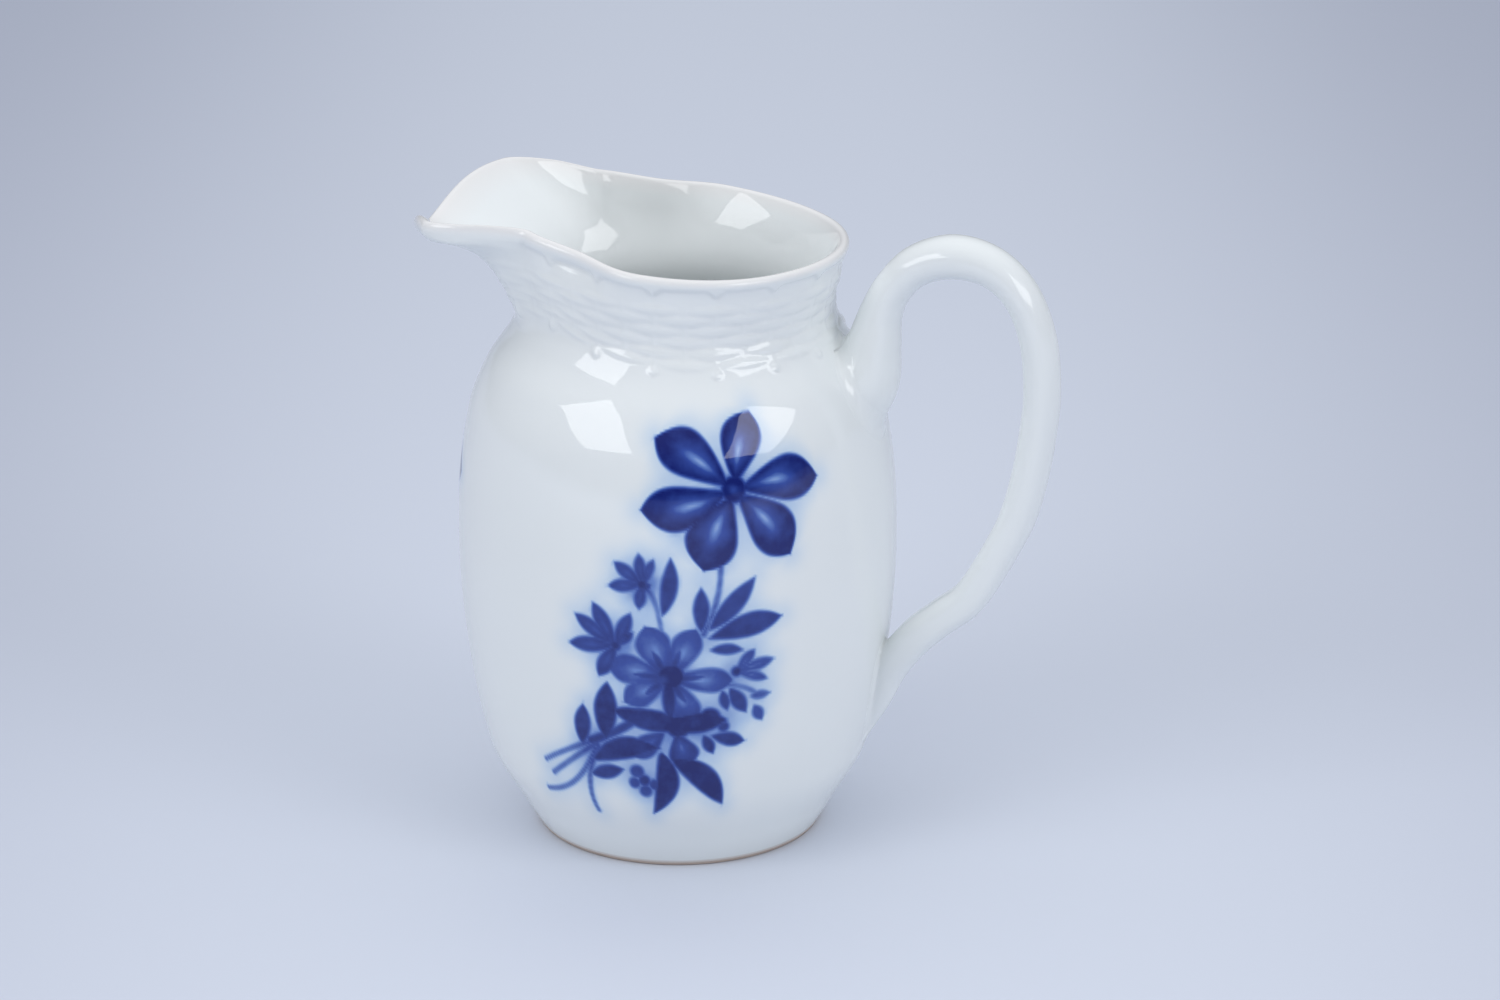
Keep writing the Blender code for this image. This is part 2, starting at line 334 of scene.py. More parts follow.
def pulled(angle, radius, height):
    """Points of the turned body after the spout is pulled. angle is in degrees, 0 at the handle."""
    from_spout = from_spout_middle(angle)
    outward, upward = spout_shape(from_spout)
    climb = np.clip((height - NECK_HEIGHT) / (RIM_HEIGHT - NECK_HEIGHT), 0, None)
    outer_share = np.clip(1 - (wall_radius(height) - radius) / WALL, 0, 1)
    soft = SPOUT_REACH * ease(from_spout, THROAT_END_ANGLE, THROAT_FLAT_ANGLE)
    throat = outward + (soft - outward) * ease(height, RIM_HEIGHT, RIM_HEIGHT - THROAT_DEPTH)
    inside = throat * climb**INSIDE_POWER
    beak = BEAK_REACH * beak_share(from_spout, BEAK_ANGLE) * climb**2
    reach = radius + beak + inside + (outward * underside_pull(height) - inside) * outer_share
    turn = np.radians(angle)
    return np.stack([reach * np.cos(turn), reach * np.sin(turn), height + upward * climb], -1)


def weave_bottom(angle):
    """The nominal height of the band's lower edge, which rises towards the spout."""
    climb = np.clip((RISE_START_ANGLE - from_spout_middle(angle)) / RISE_SPAN, 0, 1)
    return WEAVE_BOTTOM + WEAVE_RISE * climb**RISE_POWER


def weave_turn(angle):
    """How many whole weaves lie between the first and this angle."""
    return (angle - FIRST_WEAVE) * WEAVES / 360


def relief(angle, height):
    """How far the strands, stakes, beads and lip band stand off the turned wall."""
    bottom = weave_bottom(angle)
    row = (WEAVE_TOP - height) / (WEAVE_TOP - bottom) * WEAVE_ROWS
    index = np.floor(row)
    across = (row - index) * 2 - 1
    turn = weave_turn(angle)
    over = 0.5 + 0.5 * np.cos(math.tau * turn + math.pi * index)
    half_width = STRAND_NARROW + STRAND_SWELL * over
    strand = np.sqrt(np.clip(1 - (across / half_width) ** 2, 0, 1))
    strand *= STRAND_UNDER + (1 - STRAND_UNDER) * over
    off_stake = np.abs((turn * 2 + 0.5) % 1 - 0.5) / WEAVES * 180
    stake = STAKE_HEIGHT * np.exp(-((off_stake / STAKE_HALF_ANGLE) ** 2))
    # The band fades in over part of its first row and out over part of its last
    inside = ease(row, -0.15, 0.25) * ease(row, WEAVE_ROWS + 0.3, WEAVE_ROWS - 0.5)
    woven = np.maximum(WEAVE_DEPTH * strand, stake) * inside

    off_notch = np.abs((turn + 0.5) % 1 - 0.5) / WEAVES * 360
    tab = np.clip(1 - off_notch / NOTCH_HALF_WIDTH, 0, 1)
    band_edge = BAND_EDGE - NOTCH_DROP * tab**NOTCH_POWER
    under_band = ease(height, band_edge + 0.25, band_edge - 0.35)
    hollow = -BAND_DEPTH * under_band * ease(height, WEAVE_TOP - HOLLOW_SPAN, band_edge)

    bead_aside = off_notch / 360 * math.tau * NECK_RADIUS
    bead_away = np.hypot(bead_aside, height - (bottom + BEAD_LEVEL)) / BEAD_RADIUS
    bead = BEAD_HEIGHT * np.sqrt(np.clip(1 - bead_away**2, 0, 1))
    nose_end = NOSE_CLEAR_ANGLE + NOSE_CLEAR_SPAN
    clear_of_nose = ease(from_spout_middle(angle), NOSE_CLEAR_ANGLE, nose_end)
    return (np.maximum(woven, bead) + hollow) * clear_of_nose


def blade(u, v, start, heading, length, width, bend, base, blunt):
    """Millimetres outside a petal or leaf, negative inside, and the places along and across it."""
    turn = math.radians(heading)
    along = ((u - start[0]) * math.cos(turn) + (v - start[1]) * math.sin(turn)) / length
    across = (v - start[1]) * math.cos(turn) - (u - start[0]) * math.sin(turn)
    share = np.clip(along, 0, 1)
    across = across - bend * 4 * share * (1 - share)
    fullest = (base / (base + blunt)) ** (1 / blunt)
    full = fullest**base * (1 - fullest**blunt)
    half = width / 2 * share**base * (1 - share**blunt) / full
    past_end = np.maximum(np.maximum(-along, along - 1), 0) * length
    beside = np.abs(across) - half
    outside = np.hypot(np.maximum(beside, 0), past_end)
    distance = np.where((past_end > 0) | (beside > 0), outside, beside)
    return distance, share, across / np.maximum(half, 0.2)


class Painting:
    """Cobalt laid on points of the unrolled belly, with the pale halo that the glaze draws out of it."""

    def __init__(self, u, v):
        self.u, self.v = u, v
        self.ink = np.zeros_like(u)
        self.flow = np.zeros_like(u)

    def lay(self, distance, tone):
        """Ink wherever distance, in millimetres from the shape's outline, is negative."""
        cover = ease(distance, SOFT_EDGE, -SOFT_EDGE)
        self.ink = np.maximum(self.ink, cover * tone)
        halo = np.exp(-((np.maximum(distance, 0) / FLOW_REACH) ** 2))
        self.flow += (1 - self.flow) * HALO_STRENGTH * np.mean(tone) * halo

    def leaf(self, start, heading, length, width, bend=0.0, tone=0.85, base=0.8, blunt=1.6, pale=0.0):
        """A leaf with, where pale is above 0, a pale and folded middle."""
        distance, along, across = blade(
            self.u, self.v, start, heading, length, width, bend, base, blunt
        )
        lengthways = (along - PALE_MIDDLE) / PALE_HALF_LENGTH
        core = np.exp(-((across / PALE_HALF_WIDTH) ** 2) - lengthways**2)
        folds = 1 + FOLD_CONTRAST * np.cos(across * FOLD_RATE) * core
        self.lay(distance, tone * (1 - pale * core * folds))

    def petal(self, start, heading, length, width, pale=0.45, tone=0.9, blunt=3.2, bend=0.0):
        """A petal: a blunter leaf with a pale middle."""
        self.leaf(start, heading, length, width, bend, tone, 0.85, blunt, pale)

    def spot(self, centre, radius, tone=0.9):
        """A round dot of ink."""
        self.lay(np.hypot(self.u - centre[0], self.v - centre[1]) - radius, tone)

    def pale_spot(self, centre, radius, strength):
        """A soft dot where ink is taken away."""
        away = np.hypot(self.u - centre[0], self.v - centre[1]) / radius
        self.ink *= 1 - strength * np.exp(-(away**2))

    def stem(self, start, bend_at, end, width=0.8, tone=0.62):
        """A stem that curves from start to end, pulled towards bend_at."""
        nearest = np.full_like(self.u, np.inf)
        for t in np.linspace(0, 1, STEM_POINTS):
            x = (1 - t) ** 2 * start[0] + 2 * t * (1 - t) * bend_at[0] + t * t * end[0]
            y = (1 - t) ** 2 * start[1] + 2 * t * (1 - t) * bend_at[1] + t * t * end[1]
            nearest = np.minimum(nearest, np.hypot(self.u - x, self.v - y))
        self.lay(nearest - width / 2, tone)


def paint_large_flower(art, centre):
    """The open flower at the top: six shaded petals round a dark eye."""
    for heading, reach, width, bend in (
        (148, 16.9, 7.8, -1.1),
        (70, 13.2, 7.6, 1.0),
        (0, 16.9, 7.8, 0.9),
        (-51, 16.2, 8.4, 0.8),
        (-112, 15.0, 9.2, -0.7),
        (-169, 16.9, 7.8, 1.0),
    ):
        turn = math.radians(heading)
        start = (
            centre[0] + PETAL_START * math.cos(turn),
            centre[1] + PETAL_START * math.sin(turn),
        )
        art.petal(start, heading, reach - PETAL_START, width, 0.58, 1.0, 3.6, bend)
    art.spot(centre, 2.3, 1.0)
    art.pale_spot(centre, 0.8, 0.55)


def paint_middle_flower(art, centre):
    """The pale open flower in the middle, with soft petals that show their folds."""
    for heading, reach, width in (
        (112, 10.5, 6.2),
        (62, 10.5, 5.4),
        (-4, 11.5, 4.8),
        (-62, 10, 5.2),
        (-148, 9.4, 5.2),
        (168, 11, 5.6),
    ):
        art.petal(centre, heading, reach, width, 0.62, 0.66, 4.2)
        art.leaf(centre, heading + 6, reach * 0.6, 1.5, 0.0, 0.72)
    art.leaf((centre[0], centre[1] + 1), -88, 10, 2.4, 0, 0.9)
    art.spot((centre[0] + 0.5, centre[1] + 0.4), 2.3, 0.97)
    art.pale_spot((centre[0] - 0.9, centre[1] - 0.3), 0.8, 0.6)


def paint_small_flower(art, centre, petals, tone=0.78):
    """A small flower or spray: narrow petals, each with a heading, a length and a width."""
    for heading, length, width in petals:
        art.petal(centre, heading, length, width, 0.22, tone, 2.4)
    art.spot(centre, 0.9, 0.88)


def paint_bouquet(art):
    """One side's bouquet, from the large flower down to the cut stems."""
    art.stem((8, 62), (8.2, 56), (5, 49.5), 0.9)
    paint_large_flower(art, (10.7, 75))

    art.stem((-4.5, 57.5), (-2.6, 55.5), (-2, 47), 0.7, 0.55)
    spray = (
        (142, 6.2, 2.3),
        (96, 5.6, 2),
        (66, 5, 1.7),
        (186, 6, 2.3),
        (-97, 4.6, 2),
        (-55, 1.4, 2.4),
    )
    paint_small_flower(art, (-5.6, 58.6), spray)
    art.leaf((-2.1, 53), 82, 10.6, 2.9, -0.5, 0.85)

    daisy = (
        (146, 9, 2.7),
        (118, 8.6, 2.8),
        (66, 6.8, 2.5),
        (184, 8.8, 2.9),
        (-118, 7, 3),
        (40, 4.2, 1.7),
    )
    paint_small_flower(art, (-10.4, 47), daisy, 0.82)

    paint_middle_flower(art, (-1.2, 41.2))
    art.leaf((4.6, 50), 90, 8, 2.8, 0, 0.82)
    art.leaf((6, 50.2), 48, 12.2, 3.4, -0.2, 0.82)
    art.leaf((6, 48.6), 12, 13.4, 4.4, 0.5, 0.86, 0.9, 2.2)
    art.leaf((6.2, 46.4), -4, 5.8, 2, 0.2, 0.8)

    fan = ((50, 5, 2), (13, 7.2, 2.2), (-20, 6.2, 1.8))
    paint_small_flower(art, (10.9, 42), fan, 0.7)
    art.stem((9.5, 39.5), (13, 39), (15, 37), 0.7, 0.5)
    art.leaf((8.4, 38.4), -76, 3.8, 1.9, 0, 0.8)
    art.leaf((9.8, 38.8), -58, 5.8, 2.7, 0, 0.84)
    art.leaf((13.6, 36.8), 3, 3.8, 1.7, 0, 0.6)
    art.leaf((14.4, 35), -62, 3.6, 2.2, 0, 0.7)

    art.leaf((-11, 34.4), -10, 14, 4.2, -0.3, 0.92, 0.5, 2.6)
    art.leaf((-2.5, 31.5), 6, 12, 4, 0.3, 0.97, 0.5, 3.2)
    art.spot((0.6, 31.8), 2.2, 0.95)
    art.spot((6.2, 33.2), 2.0, 0.92)
    art.spot((8.8, 31.4), 1.0, 0.8)
    art.leaf((6.6, 29.7), -14, 6.4, 2.7, 0, 0.92, 0.8, 2.6)
    art.leaf((5.2, 29.8), -64, 4, 2.1, 0, 0.88)
    art.petal((0.2, 30.4), -72, 6.8, 5.6, 0.35, 0.86, 4.2)
    art.petal((-2, 30.6), -140, 8, 4.4, 0.3, 0.78, 3.2)
    art.leaf((-16, 23.9), 15, 13.6, 4.4, 1.4, 0.93)
    art.leaf((-13, 28.4), 86, 11.4, 4.3, 0.2, 0.94, 0.7, 2.2)
    art.leaf((-18, 26.8), 84, 8, 3.2, 0, 0.88, 0.7, 2.2)

    art.stem((-7, 33), (-10, 30.5), (-16, 27.8), 1.6, 0.8)
    art.stem((-14.8, 28), (-19, 26.5), (-27.2, 21.6), 0.95)
    art.stem((-15, 27.4), (-19.5, 24), (-25.8, 19.2), 0.95)
    art.stem((-15, 27), (-19.5, 16.5), (-28.4, 15.2), 1.0)
    art.stem((-14.6, 26.6), (-18.8, 20), (-16.8, 12.8), 1.0)
    art.leaf((-16.8, 20.8), 15, 7, 2.8, 0, 0.86)
    berries = (((-7.4, 22.4), 1.3), ((-8, 20), 1.1), ((-5.9, 18.4), 1.2), ((-4.1, 19.8), 1.1))
    for centre, radius in berries:
        art.spot(centre, radius, 0.72)
    art.spot((-6.1, 20.6), 1.1, 0.9)
    art.leaf((-2.6, 26.4), -99, 13.2, 4.4, 2.0, 0.97, 0.6, 1.6)
    art.leaf((-0.6, 25.2), -45, 14, 4.8, 1.4, 0.97, 0.6, 2.2)


def paint_sprig(art):
    """The sprig under the spout: one large flower on a leafy stem."""
    art.stem((-1, 42), (2, 50), (0, 60), 0.9)
    paint_large_flower(art, (0, 68))
    art.leaf((0.6, 50), 40, 8, 3)
    art.leaf((0.4, 47), 140, 8, 3)
    art.leaf((0, 44.5), 30, 5.5, 2.2)


def cobalt(angle, height):
    """How much cobalt the glaze holds at this angle and height, from 0 to 1."""
    from_handle = 180 - from_spout_middle(angle)
    millimetres = math.radians(1) * BELLY_RADIUS
    painted = np.zeros_like(angle)
    bouquet = Painting((BOUQUET_ANGLE - from_handle) * millimetres, height)
    paint_bouquet(bouquet)
    sprig = Painting((angle % 360 - 180) * millimetres, height)
    paint_sprig(sprig)
    for art in (bouquet, sprig):
        painted = np.maximum(painted, np.maximum(art.ink, 0) + art.flow * (1 - art.ink))
    return painted


def grid_faces(rows, columns):
    """Quads between neighbouring rows of a closed ring of columns."""
    faces = []
    for row in range(rows - 1):
        for column in range(columns):
            following = (column + 1) % columns
            here, below = row * columns, (row + 1) * columns
            faces.append((here + column, below + column, below + following, here + following))
    return faces


def mesh_object(name, points, faces, material):
    """A smooth-shaded mesh in the scene."""
    mesh = bpy.data.meshes.new(name)
    mesh.from_pydata([tuple(p) for p in points], [], faces)
    mesh.materials.append(material)
    mesh.shade_smooth()
    obj = bpy.data.objects.new(name, mesh)
    bpy.context.scene.collection.objects.link(obj)
    return obj


def face_outwards(obj):
    """Turns every face of a closed mesh so that its normal points out."""
    bm = bmesh.new()
    bm.from_mesh(obj.data)
    bmesh.ops.recalc_face_normals(bm, faces=bm.faces)
    bm.to_mesh(obj.data)
    bm.free()


def body_profile():
    """Rows of (radius, height, zone) from the middle of the inner floor, over the lip, to the base.

    The zone is 0 inside, 1 on the lip's crest, 2 outside and 3 under the foot.
    """
    floor = FOOT_RECESS_DEPTH + FLOOR_THICKNESS
    along = np.gradient(WALL_LINE, axis=0)
    normals = np.stack([-along[:, 1], along[:, 0]], 1)
    normals /= np.linalg.norm(normals, axis=1)[:, None]
    inner = (WALL_LINE - normals * WALL)[::-1]
    inner = inner[inner[:, 1] > floor + CORNER_RISE]
    inside = np.concatenate([np.linspace(inner[0, 1], 20, 5), np.linspace(26, 86, 8)])
    inside = np.concatenate([inside, np.linspace(88.5, inner[-1, 1], 12)])
    rows = [(radius, floor + rise, 0) for radius, rise in FLOOR_DISH]
    top = inner[-1, 1]
    flare = INNER_FLARE * np.clip(1 - (top - inside) / INNER_FLARE_DEPTH, 0, 1) ** INNER_FLARE_POWER
    inside_radius = np.interp(inside, inner[:, 1], inner[:, 0]) + flare
    rows += [(r, z, 0) for r, z in zip(inside_radius, inside)]
    edge = np.array([inside_radius[-1], top])
    middle = (WALL_LINE[0] + edge) / 2
    arm = (WALL_LINE[0] - edge) / 2
    lean = math.atan2(arm[1], arm[0])
    for step in range(1, CREST_STEPS):
        turn = lean + math.pi * (1 - step / CREST_STEPS)
        offset = np.array([math.cos(turn), math.sin(turn)]) * np.linalg.norm(arm)
        rows.append((*(middle + offset), 1))
    outside = np.concatenate(
        [
            np.arange(WALL_LINE[0, 1], WEAVE_BOTTOM - 2, -RELIEF_STEP),
            np.arange(WEAVE_BOTTOM - 2.4, 6, -BELLY_STEP),
            np.linspace(5.6, 0.5, 7),
        ]
    )
    rows += [(wall_radius(z), z, 2) for z in outside]
    ring = FOOT_RADIUS - FOOT_RING_WIDTH
    # The foot ring's rounded outer edge, its flat, its inner edge, and the recess inside it
    rows += [(FOOT_RADIUS - 0.14, 0.15, 3), (FOOT_RADIUS - 0.5, 0, 3)]
    rows += [(ring + 0.4, 0, 3), (ring, 0.12, 3)]
    rows += [(ring - 0.9, FOOT_RECESS_DEPTH - 0.15, 3), (ring - 1.3, FOOT_RECESS_DEPTH, 3)]
    rows.append((0.5, FOOT_RECESS_DEPTH, 3))
    return np.array(rows)


def body_points(angle, radius, height, zone):
    """Points of the finished body: the pulled wall with its relief."""
    points = pulled(angle, radius, height)
    raised = np.where(zone == 2, relief(angle, height), 0)
    turn = np.radians(angle)
    points[..., 0] += raised * np.cos(turn)
    points[..., 1] += raised * np.sin(turn)
    return points


def refine_where_painted(mesh):
    """Splits the faces that carry cobalt.

    A new corner's layers are the mean of its neighbours', so the faces behind the handle, where the
    angle goes from 360 back to 0, are left whole.
    """
    bm = bmesh.new()
    bm.from_mesh(mesh)
    angles = bm.verts.layers.float["angle"]
    paint = bm.verts.layers.float["cobalt"]
    edges = set()
    for face in bm.faces:
        if len(face.verts) != 4:
            continue
        ink = max(vert[paint] for vert in face.verts)
        from_spout = max(abs(vert[angles] - 180) for vert in face.verts)
        if ink > LEAST_INK_TO_REFINE and from_spout < SEAM_FREE_ANGLE:
            edges.update(face.edges)
    bmesh.ops.subdivide_edges(bm, edges=list(edges), cuts=1, use_grid_fill=True)
    bmesh.ops.recalc_face_normals(bm, faces=bm.faces)
    bm.to_mesh(mesh)
    bm.free()


def read_floats(mesh, name):
    """One number for each of the mesh's points, from its attribute of this name."""
    values = np.empty(len(mesh.vertices), np.float32)
    mesh.attributes[name].data.foreach_get("value", values)
    return values.astype(float)


def write_floats(mesh, name, values):
    """Sets the attribute of this name, and makes it where the mesh has none."""
    layer = mesh.attributes.get(name) or mesh.attributes.new(name, "FLOAT", "POINT")
    layer.data.foreach_set("value", np.asarray(values, np.float32).ravel())


def cobalt_at(angle, height, zone):
    """The cobalt at points of the body, worked out only where there can be any."""
    values = np.zeros_like(angle)
    painted = (zone == 2) & (height < WEAVE_BOTTOM) & (height > PAINT_LOWEST)
    values[painted] = cobalt(angle[painted], height[painted])
    return values


def body_mesh(name, material):
    """The body as one closed mesh, with its cobalt, warm lip and bare foot as attributes."""
    profile = body_profile()
    angles = (np.arange(COLUMNS) + 0.5) * 360 / COLUMNS
    angle = np.tile(angles, len(profile))
    radius, height, zone = np.repeat(profile, COLUMNS, axis=0).T
    points = body_points(angle, radius, height, zone)
    faces = grid_faces(len(profile), COLUMNS)
    faces.append(tuple(range(COLUMNS)))
    faces.append(tuple(range(len(points) - COLUMNS, len(points))))
    obj = mesh_object(name, place(points), faces, material)
    mesh = obj.data
    layers = {"angle": angle, "height": height, "zone": zone, "radius": radius}
    for layer, values in layers.items():
        write_floats(mesh, layer, values)
    write_floats(mesh, "cobalt", cobalt_at(angle, height, zone))
    refine_where_painted(mesh)

    angle, height, zone, radius = (read_floats(mesh, layer) for layer in layers)
    outside = zone == 2
    radius[outside] = wall_radius(height[outside])
    mesh.vertices.foreach_set("co", place(body_points(angle, radius, height, zone)).ravel())
    write_floats(mesh, "cobalt", cobalt_at(angle, height, zone))
    write_floats(mesh, "lip", ease(height, LIP_WARM_START, RIM_HEIGHT))
    bare_under = np.where(zone == 3, ease(height, *GLAZE_ENDS_UNDER), 0)
    bare_outside = np.where(outside, ease(height, *GLAZE_ENDS_OUTSIDE), 0)
    write_floats(mesh, "bare", np.maximum(bare_under, bare_outside))
    for layer in layers:
        mesh.attributes.remove(mesh.attributes[layer])
    mesh.update()
    return obj


def through(stations, steps):
    """Points on a smooth line through the stations, which may have any number of columns."""
    stations = np.array(stations, float)
    last = len(stations) - 1
    line = []
    for i in range(last):
        before, start = stations[max(i - 1, 0)], stations[i]
        end, after = stations[i + 1], stations[min(i + 2, last)]
        for t in np.arange(steps) / steps:
            slope_in, slope_out = (end - before) / 2, (after - start) / 2
            h00, h10 = 2 * t**3 - 3 * t**2 + 1, t**3 - 2 * t**2 + t
            h01, h11 = 3 * t**2 - 2 * t**3, t**3 - t**2
            line.append(h00 * start + h10 * slope_in + h01 * end + h11 * slope_out)
    return np.array(line + [stations[last]])


def handle_points():
    """Rings of points round the handle, from inside the shoulder to inside the belly."""
    line = through(HANDLE_STATIONS, HANDLE_STEPS)
    along = np.gradient(line[:, :2], axis=0)
    along /= np.linalg.norm(along, axis=1)[:, None]
    outward = np.stack([-along[:, 1], along[:, 0]], 1)
    turns = np.arange(HANDLE_SIDES) * math.tau / HANDLE_SIDES
    rings = []
    for (x, z, thick, wide, square), out in zip(line, outward):
        power = 2 / square
        radial = thick * np.sign(np.sin(turns)) * np.abs(np.sin(turns)) ** power
        aside = wide * np.sign(np.cos(turns)) * np.abs(np.cos(turns)) ** power
        rings.append(np.stack([x + out[0] * radial, aside, z + out[1] * radial], 1))
    return np.array(rings)


def outside_wall(points):
    """How far points stand out from the body's wall, measured level from its axis."""
    return np.hypot(points[..., 0], points[..., 1]) - wall_radius(points[..., 2])


def handle_mesh(name, rings, material):
    """The handle, closed at each end just inside the wall."""
    buried = outside_wall(rings).max(axis=1) < -BURIED_RING_DEPTH
    first = int(np.argmin(buried))
    last = len(rings) - int(np.argmin(buried[::-1]))
    kept = rings[max(first - 1, 0) : last + 1].copy()
    depth = outside_wall(kept)
    reach = np.hypot(kept[..., 0], kept[..., 1])
    shrink = np.where(depth < -BURY_DEPTH, (reach - depth - BURY_DEPTH) / reach, 1)
    kept[..., 0] *= shrink
    kept[..., 1] *= shrink
    count, sides = kept.shape[:2]
    faces = grid_faces(count, sides)
    faces += [tuple(range(sides)), tuple(range((count - 1) * sides, count * sides))]
    obj = mesh_object(name, place(kept.reshape(-1, 3)), faces, material)
    face_outwards(obj)
    return obj


def fillet_mesh(name, rings, reach, material):
    """A concave skirt of slip between the handle and the wall, where the handle's rings leave the wall."""
    centre = rings.mean(axis=1)
    loops = []
    for side in range(rings.shape[1]):
        path = rings[:, side]
        depth = outside_wall(path)
        out = int(np.argmax(depth > 0))
        share = -depth[out - 1] / (depth[out] - depth[out - 1]) if out else 0
        seam = path[out - 1] + (path[out] - path[out - 1]) * share if out else path[0]
        lengths = np.linalg.norm(np.diff(path[out:], axis=0), axis=1).cumsum()
        ahead = out + 1 + min(int(np.searchsorted(lengths, reach)), len(lengths) - 2)
        up, beyond = path[ahead], path[ahead + 1]
        inwards = centre[ahead + 1] - beyond
        beyond = beyond + inwards / np.linalg.norm(inwards) * SINK
        middle = centre[out]
        away = seam - middle
        normal = np.array([seam[0], seam[1], 0]) / np.hypot(seam[0], seam[1])
        away -= normal * (away @ normal)
        foot = seam + away / np.linalg.norm(away) * reach
        past = foot + away / np.linalg.norm(away) * 2 * SINK
        foot[:2] *= wall_radius(foot[2]) / np.hypot(foot[0], foot[1])
        past[:2] *= (wall_radius(past[2]) - SINK) / np.hypot(past[0], past[1])
        loops.append((beyond, up, seam, foot, past, middle, normal))
    points = []
    for beyond, up, seam, foot, past, middle, normal in loops:
        points.append(beyond)
        for t in np.linspace(0, 1, FILLET_STEPS):
            points.append((1 - t) ** 2 * up + 2 * t * (1 - t) * seam + t * t * foot)
        into = middle - seam
        into = into / np.linalg.norm(into)
        points += [past, foot - normal * FOOT_SINK]
        points += [seam - normal * SEAM_SINK + into * SEAM_INWARDS, up + into * TOP_INWARDS]
    ring = FILLET_STEPS + 5
    faces = []
    for side in range(len(loops)):
        here, there = side * ring, (side + 1) % len(loops) * ring
        for step in range(ring):
            following = (step + 1) % ring
            faces.append((here + step, there + step, there + following, here + following))
    obj = mesh_object(name, place(points), faces, material)
    face_outwards(obj)
    return obj


def node(tree, kind, **settings):
    """A shader node with its properties and unlinked inputs set."""
    made = tree.nodes.new(kind)
    for key, value in settings.items():
        if key in made.inputs:
            made.inputs[key].default_value = value
        else:
            setattr(made, key, value)
    return made


def attribute(tree, name):
    """The number that the mesh's attribute of this name has at each point."""
    return node(tree, "ShaderNodeAttribute", attribute_name=name).outputs["Fac"]


def mixed(tree, share, first, second):
    """A colour that goes from first to second as share goes from 0 to 1. Either may be a socket."""
    mix = node(tree, "ShaderNodeMix", data_type="RGBA")
    for socket, value in ((mix.inputs[0], share), (mix.inputs[6], first), (mix.inputs[7], second)):
        if isinstance(value, bpy.types.NodeSocket):
            tree.links.new(value, socket)
        else:
            socket.default_value = value
    return mix.outputs[2]


def glaze(name, painted):
    """White porcelain under a clear glaze. The body's own has cobalt, a warm lip and a bare foot ring."""
    material = bpy.data.materials.new(name)
    material.use_nodes = True
    tree = material.node_tree
    shader = tree.nodes["Principled BSDF"]
    shader.inputs["IOR"].default_value = GLAZE_IOR
    where = node(tree, "ShaderNodeTexCoord").outputs["Object"]

    def noise(scale, detail=2.0):
        """Soft random patches, finer where scale is greater."""
        made = node(tree, "ShaderNodeTexNoise", Scale=scale, Detail=detail)
        tree.links.new(where, made.inputs["Vector"])
        return made.outputs["Fac"]

    colour = mixed(tree, noise(TINT_SCALE), WHITE_COOL, WHITE_GREEN)
    roughness = node(tree, "ShaderNodeMapRange", **{"To Min": SMOOTHEST, "To Max": ROUGHEST})
    tree.links.new(noise(ROUGHNESS_SCALE, 4), roughness.inputs["Value"])
    rough = roughness.outputs["Result"]
    if painted:
        colour = mixed(tree, attribute(tree, "lip"), colour, LIP_WARM)
        mottle = node(tree, "ShaderNodeMapRange", **{"To Min": 1 - MOTTLE, "To Max": 1 + MOTTLE})
        tree.links.new(noise(MOTTLE_SCALE, 3), mottle.inputs["Value"])
        ink = node(tree, "ShaderNodeMath", operation="MULTIPLY")
        tree.links.new(attribute(tree, "cobalt"), ink.inputs[0])
        tree.links.new(mottle.outputs["Result"], ink.inputs[1])
        ramp = node(tree, "ShaderNodeValToRGB")
        stops = ramp.color_ramp.elements
        stops[0].position, stops[0].color = 0.0, (1, 1, 1, 1)
        stops[1].position, stops[1].color = 1.0, COBALT_DEEP
        for position, tint in COBALT_STOPS:
            stops.new(position).color = tint
        tree.links.new(ink.outputs[0], ramp.inputs["Fac"])
        tinted = node(tree, "ShaderNodeMix", data_type="RGBA", blend_type="MULTIPLY")
        tinted.inputs[0].default_value = 1
        tree.links.new(colour, tinted.inputs[6])
        tree.links.new(ramp.outputs["Color"], tinted.inputs[7])
        colour = mixed(tree, attribute(tree, "bare"), tinted.outputs[2], BARE_CLAY)
        bare_rough = node(tree, "ShaderNodeMapRange", **{"To Max": BARE_ROUGHNESS})
        tree.links.new(attribute(tree, "bare"), bare_rough.inputs["Value"])
        more = node(tree, "ShaderNodeMath", operation="MAXIMUM")
        tree.links.new(rough, more.inputs[0])
        tree.links.new(bare_rough.outputs["Result"], more.inputs[1])
        rough = more.outputs[0]
    tree.links.new(colour, shader.inputs["Base Color"])
    tree.links.new(rough, shader.inputs["Roughness"])

    waves = node(tree, "ShaderNodeBump", Strength=WAVE_STRENGTH, Distance=WAVE_DISTANCE)
    tree.links.new(noise(WAVE_SCALE), waves.inputs["Height"])
    tree.links.new(waves.outputs["Normal"], shader.inputs["Normal"])
    return material


def camera():
    """A long lens aimed at the middle of the picture's frame."""
    azimuth, elevation = math.radians(CAMERA_AZIMUTH), math.radians(CAMERA_ELEVATION)
    level = math.cos(elevation)
    back = Vector((level * math.sin(azimuth), -level * math.cos(azimuth), math.sin(elevation)))
    right = Vector((math.cos(azimuth), math.sin(azimuth), 0))
    target = (right * AIM_ASIDE + Vector((0, 0, AIM_HEIGHT))) * MM + Vector((AXIS_X, 0, 0))
    data = bpy.data.cameras.new("camera")
    data.lens = CAMERA_LENS
    obj = bpy.data.objects.new("camera", data)
    obj.location = target + back * CAMERA_DISTANCE * MM
    obj.rotation_euler = (-back).to_track_quat("-Z", "Y").to_euler()
    bpy.context.scene.collection.objects.link(obj)
    bpy.context.scene.camera = obj


